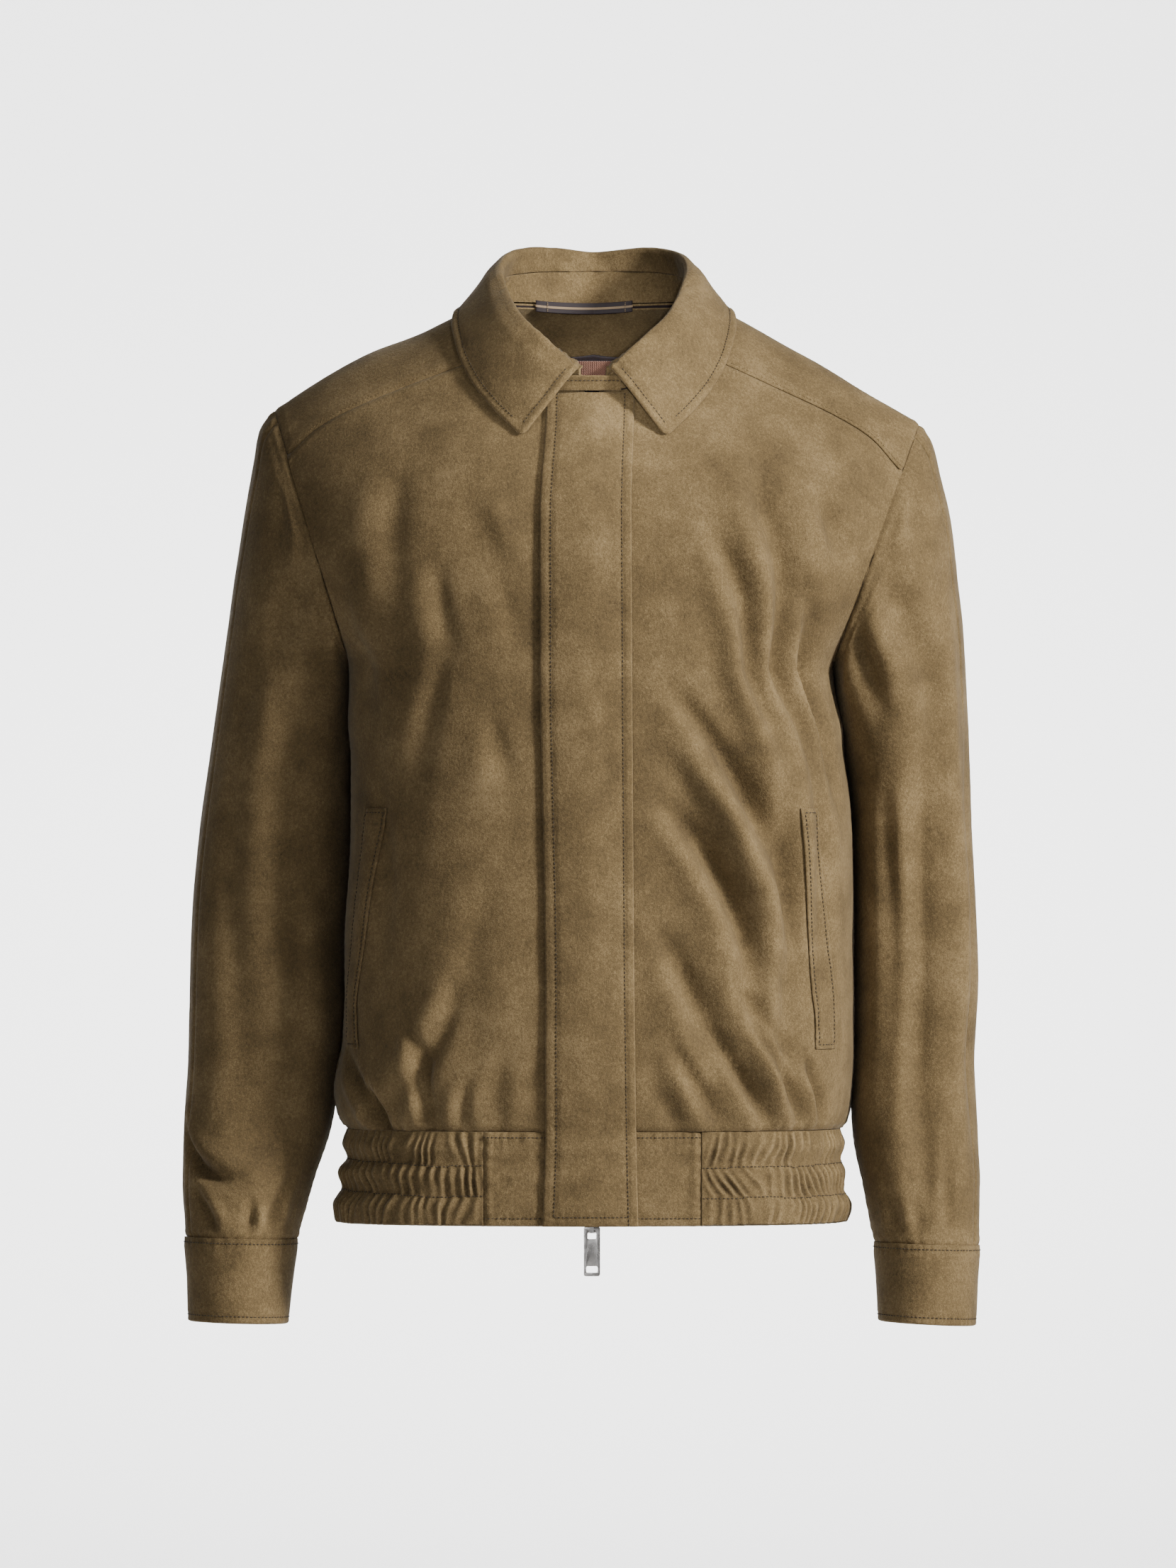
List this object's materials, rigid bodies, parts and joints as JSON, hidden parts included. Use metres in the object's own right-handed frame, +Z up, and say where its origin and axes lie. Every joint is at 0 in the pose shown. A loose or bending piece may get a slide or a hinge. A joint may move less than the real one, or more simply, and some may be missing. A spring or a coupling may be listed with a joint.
{
  "type": "suede blouson jacket",
  "caption": "Zip-front suede blouson jacket with pointed collar, fly placket, welt pockets, gathered waistband and cuffs, held hollow in its worn shape.",
  "frame": {"origin": "middle of the neck hole, at the height of the shoulder line beside the collar", "axes": "+Z up, the front faces -Y, +X to the right of the front view"},
  "size_m": [0.5633, 0.2842, 0.7626],
  "materials": {
    "suede": "napped suede, matt",
    "lining": "smooth woven",
    "rib_knit": "fine rib knit",
    "woven_tape": "woven tape with a tan stripe",
    "zip_cloth": "woven zip tape",
    "zip_metal": "gunmetal"
  },
  "bodies": {
    "jacket": {"back": "suede", "back_lining": "lining", "collar_fall": "suede", "collar_stand": "suede", "collar_tab": "suede", "cuff_left": "suede", "cuff_right": "suede", "front_left": "suede", "front_right": "suede", "hanger_loop": "woven_tape", "neck_facing": "suede", "neck_rib": "rib_knit", "placket": "suede", "pocket_welt_left": "suede", "pocket_welt_right": "suede", "sleeve_left_back": "suede", "sleeve_left_front": "suede", "sleeve_right_back": "suede", "sleeve_right_front": "suede", "waist_elastic_back": "suede", "waist_elastic_left": "suede", "waist_elastic_right": "suede", "waist_tab_left": "suede", "waist_tab_right": "suede", "yoke": "suede", "zip_chain": "zip_metal", "zip_slider": "zip_metal", "zip_tape_left": "zip_cloth", "zip_tape_right": "zip_cloth"},
    "zip_pull": {"zip_pull": "zip_metal"}
  },
  "joints": [
    {"name": "zip_pull_swing", "type": "hinge", "parent": "jacket", "child": "zip_pull", "pos_m": [-0.0015, -0.12394, -0.6389], "axis": [-1, 0, 0], "range_deg": [-12, 80]}
  ]
}
